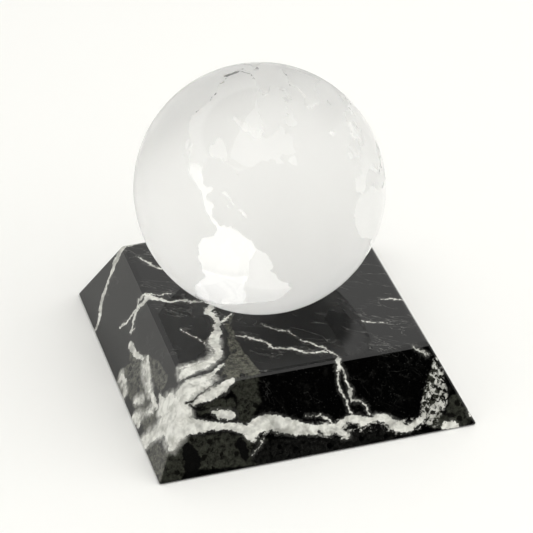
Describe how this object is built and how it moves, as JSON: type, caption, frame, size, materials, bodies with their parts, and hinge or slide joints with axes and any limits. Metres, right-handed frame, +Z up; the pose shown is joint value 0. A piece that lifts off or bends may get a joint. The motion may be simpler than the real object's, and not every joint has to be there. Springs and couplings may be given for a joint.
{
  "type": "paperweight",
  "caption": "Solid glass globe with sand-etched seas and polished land, resting loose on a rubber ring in the seat of a polished black veined-marble base shaped as a low square pyramid.",
  "frame": {"origin": "on the table top, under the middle of the square base", "axes": "+Z up, -Y towards the front face of the base, +X to the right"},
  "size_m": [0.0996, 0.0996, 0.1001],
  "materials": {
    "marble": "polished black marble with white veins and grey-green broken zones",
    "felt": "black wool felt",
    "ring_rubber": "clear soft rubber",
    "glass": "clear glass, sand-etched on the seas and polished on the land"
  },
  "bodies": {
    "base": {"marble_base": "marble", "felt_pad": "felt"},
    "ring": {"seat_ring": "ring_rubber"},
    "globe": {"globe": "glass"}
  },
  "joints": [
    {"name": "globe_turn", "type": "hinge", "parent": "base", "child": "ring", "pos_m": [-0.003, 0.004, 0.0253], "axis": [0, 0, 1], "continuous": true},
    {"name": "globe_lift", "type": "slide", "parent": "ring", "child": "globe", "axis": [0, 0, 1], "range_m": [0, 0.05]}
  ]
}
